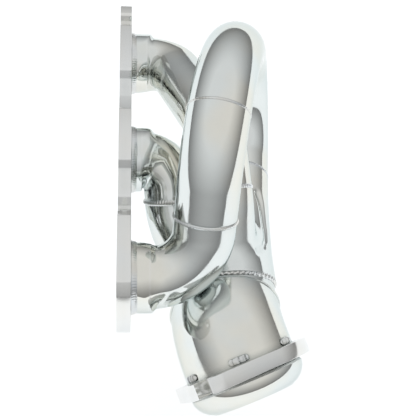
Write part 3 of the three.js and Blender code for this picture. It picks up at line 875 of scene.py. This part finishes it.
ball_prof += [(31.4, BALL_H), (30.2, BALL_H), (28.6, BALL_H - 0.6), (28.5, 14.9), (32.5, 13.1), (37.2, 9.8), (40.2, 5.6), (40.7, 3)]
n_in = len(ball_prof) - 4
lathe("ball_end_rolled", ball_prof, ball_p, ball_d, ROOT, ["ball_end"], [BALL_MAT, BORE_MAT], n=160, inner_from=n_in)


# ---------------------------------------------------------------- loose two-bolt flange
def ear_outline():
    body_r, ear_at, ear_r, slot_r, bolt_at = 51.2, 61.2, 16.9, 5.3, 58.0
    a = math.acos((body_r - ear_r) / ear_at)
    tip = math.asin(slot_r / ear_r)
    pts = []

    def arc(cx, r, a0, a1, n):
        for q in np.linspace(a0, a1, n):
            pts.append((cx + r * math.cos(q), r * math.sin(q)))
    arc(ear_at, ear_r, tip, a, 20)
    arc(0, body_r, a, math.pi - a, 60)
    arc(-ear_at, ear_r, math.pi - a, math.pi - tip, 20)
    for q in np.linspace(math.pi / 2, -math.pi / 2, 20):
        pts.append((-bolt_at + slot_r * math.cos(q), slot_r * math.sin(q)))
    arc(-ear_at, ear_r, math.pi + tip, math.pi + a, 20)
    arc(0, body_r, math.pi + a, 2 * math.pi - a, 60)
    arc(ear_at, ear_r, 2 * math.pi - a, 2 * math.pi - tip, 20)
    for q in np.linspace(-math.pi / 2, -3 * math.pi / 2, 20):
        pts.append((bolt_at + slot_r * math.cos(q), slot_r * math.sin(q)))
    clean = []
    for p in pts:
        if not clean or math.hypot(p[0] - clean[-1][0], p[1] - clean[-1][1]) > 0.05:
            clean.append(p)
    return np.array(clean)


SIDE = np.cross(OUT_DIR, EAR_DIR)
plate(
    "collector_flange_ring", ear_outline(), [circle(0, 0, FLANGE_BORE_R, 160)], FLANGE_T,
    lambda x, z, t: tuple(FLANGE_TOP + EAR_DIR * x + SIDE * z + OUT_DIR * t), LOOSE, ["collector_flange"], [RING_MAT], chamfer=0.6,
)

# stop beads: short runs of weld laid round the outlet just above the loose flange
TOWARD = A(0.3773, -0.1565, 0.9128)
TOWARD = unit(TOWARD - OUT_DIR * (TOWARD @ OUT_DIR))
ACROSS = np.cross(OUT_DIR, TOWARD)
for i in range(6):
    g = np.random.default_rng(70 + i)
    mid = i * math.pi / 3
    half = math.radians(10.5)
    m, k = 44, 15
    tt = np.linspace(-1, 1, m)
    ph = 3.4 * np.pi * (tt + 1) + g.uniform(0, 6)
    lump = 1 + 0.22 * np.sin(3.1 * tt + g.uniform(0, 6)) + 0.16 * np.sin(7.3 * tt + g.uniform(0, 6))
    env = np.sqrt(np.clip(1 - tt ** 6, 0.0, 1))
    verts = []
    for j, q in enumerate(np.linspace(0, 2 * np.pi, k, endpoint=False)):
        crest = 0.5 + 0.5 * np.cos(ph - 1.3 * np.cos(q))
        rr = OUT_R + 0.25 + (0.95 + 1.25 * math.cos(q)) * env * lump * (1 - 0.5 * crest ** 2)
        yy = -3.0 + 2.35 * math.sin(q) * env * (1 + 0.1 * lump)
        an = mid + half * tt
        verts.append(FLANGE_TOP + np.outer(rr * np.cos(an), TOWARD) + np.outer(rr * np.sin(an), ACROSS) + np.outer(yy, OUT_DIR))
    verts = np.stack(verts, 1).reshape(-1, 3)  # m x k, closed round k
    faces = []
    for a_ in range(m - 1):
        for b_ in range(k):
            faces.append((a_ * k + b_, a_ * k + (b_ + 1) % k, (a_ + 1) * k + (b_ + 1) % k, (a_ + 1) * k + b_))
    faces.append(tuple(range(k)))
    faces.append(tuple(range((m - 1) * k, m * k))[::-1])
    make_object(f"flange_stop_{i + 1}_bead", verts, faces, ROOT, [f"flange_stop_{i + 1}"], [WELD_MAT], None, 60.0)

# ---------------------------------------------------------------- floor, light and camera
sc = bpy.context.scene
fm_, nt, bs, obj = _mat("pale_floor")
pale = _mix(nt, _range(nt, _noise(nt, obj, 3.0, 3.0), 0.3, 0.7, 0.0, 1.0), (0.92, 0.935, 0.945), (0.94, 0.95, 0.96))
nt.links.new(pale, bs.inputs["Base Color"])
bs.inputs["Roughness"].default_value = 0.9
bs.inputs["Specular IOR Level"].default_value = 0.1
me = bpy.data.meshes.new("floor")
R, N = 9.0, 72
fv = [(0, 0, 0)] + [(R * math.cos(2 * math.pi * k / N), R * math.sin(2 * math.pi * k / N), 0) for k in range(N)]
me.from_pydata(fv, [], [(0, k + 1, (k + 1) % N + 1) for k in range(N)])
me.materials.append(fm_)
floor = bpy.data.objects.new("floor", me)
floor.location = (0, 0, -0.42)
sc.collection.objects.link(floor)


# studio: one neutral dome, pale overhead and softer towards the horizon, with a pale backdrop
def studio():
    world = bpy.data.worlds.new("studio")
    sc.world = world
    world.use_nodes = True
    nt = world.node_tree
    nt.nodes.clear()
    out = nt.nodes.new("ShaderNodeOutputWorld")
    bg = nt.nodes.new("ShaderNodeBackground")
    nt.links.new(bg.outputs[0], out.inputs[0])
    tc = nt.nodes.new("ShaderNodeTexCoord")
    sep = nt.nodes.new("ShaderNodeSeparateXYZ")
    nt.links.new(tc.outputs["Generated"], sep.inputs[0])
    col = _mix(nt, _range(nt, sep.outputs[2], 0.0, 0.75, 0.0, 1.0), (0.26, 0.26, 0.26), (0.80, 0.80, 0.80))
    lp = nt.nodes.new("ShaderNodeLightPath")
    col = _mix(nt, lp.outputs["Is Camera Ray"], col, (0.90, 0.90, 0.90))
    nt.links.new(col, bg.inputs[0])
    bg.inputs[1].default_value = 1.0


studio()
sun = bpy.data.lights.new("key", "SUN")
sun.energy = 1.6
sun.angle = math.radians(70)
so = bpy.data.objects.new("key", sun)
so.rotation_euler = (math.radians(8), math.radians(-14), 0)
so.visible_glossy = False
sc.collection.objects.link(so)

cam = bpy.data.cameras.new("camera")
cam.sensor_width = 36.0
cam.lens = 785.4 / 416 * 36.0
cam.clip_start, cam.clip_end = 0.01, 50
co = bpy.data.objects.new("camera", cam)
r, u, w = A(0.0544, 0.9948, 0.0856), A(-0.8066, -0.0068, 0.591), A(-0.5886, 0.1012, -0.8021)
co.matrix_world = Matrix(((r[0], u[0], -w[0], 0.3974), (r[1], u[1], -w[1], 0.0074), (r[2], u[2], -w[2], 0.4780), (0, 0, 0, 1)))
sc.collection.objects.link(co)
sc.camera = co
sc.view_settings.view_transform = "Standard"
